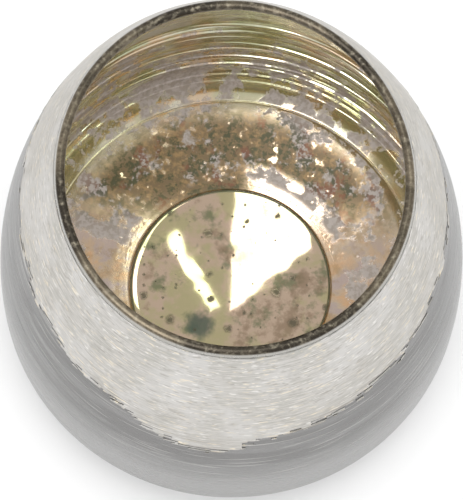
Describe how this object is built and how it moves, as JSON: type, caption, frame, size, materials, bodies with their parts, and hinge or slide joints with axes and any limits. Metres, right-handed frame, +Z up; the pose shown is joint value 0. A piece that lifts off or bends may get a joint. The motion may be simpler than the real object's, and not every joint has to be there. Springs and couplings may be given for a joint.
{
  "type": "tealight holder",
  "caption": "Round silvered-glass bowl with a low belly, a wide mouth and a mirrored floor that a tealight stands on.",
  "frame": {"origin": "centre of the foot on the surface the holder stands on", "axes": "+Z up along the bowl's axis, through the middle of the mouth"},
  "size_m": [0.0966, 0.0966, 0.0845],
  "materials": {
    "glass_bowl": "clear blown glass, ground foot",
    "brushed_coat": "bright silver, brushed with fine level lines",
    "belly_coat": "smooth grey lustre",
    "wall_lining": "aged silver mirror, mottled gold, lilac grey and rust",
    "floor_mirror": "pale gold mirror with dark specks",
    "rim_band": "dark worn olive brown, mottled"
  },
  "bodies": {
    "root": {"glass_bowl": "glass_bowl", "brushed_coat": "brushed_coat", "belly_coat": "belly_coat", "wall_lining": "wall_lining", "floor_mirror": "floor_mirror", "rim_band": "rim_band"}
  },
  "joints": []
}
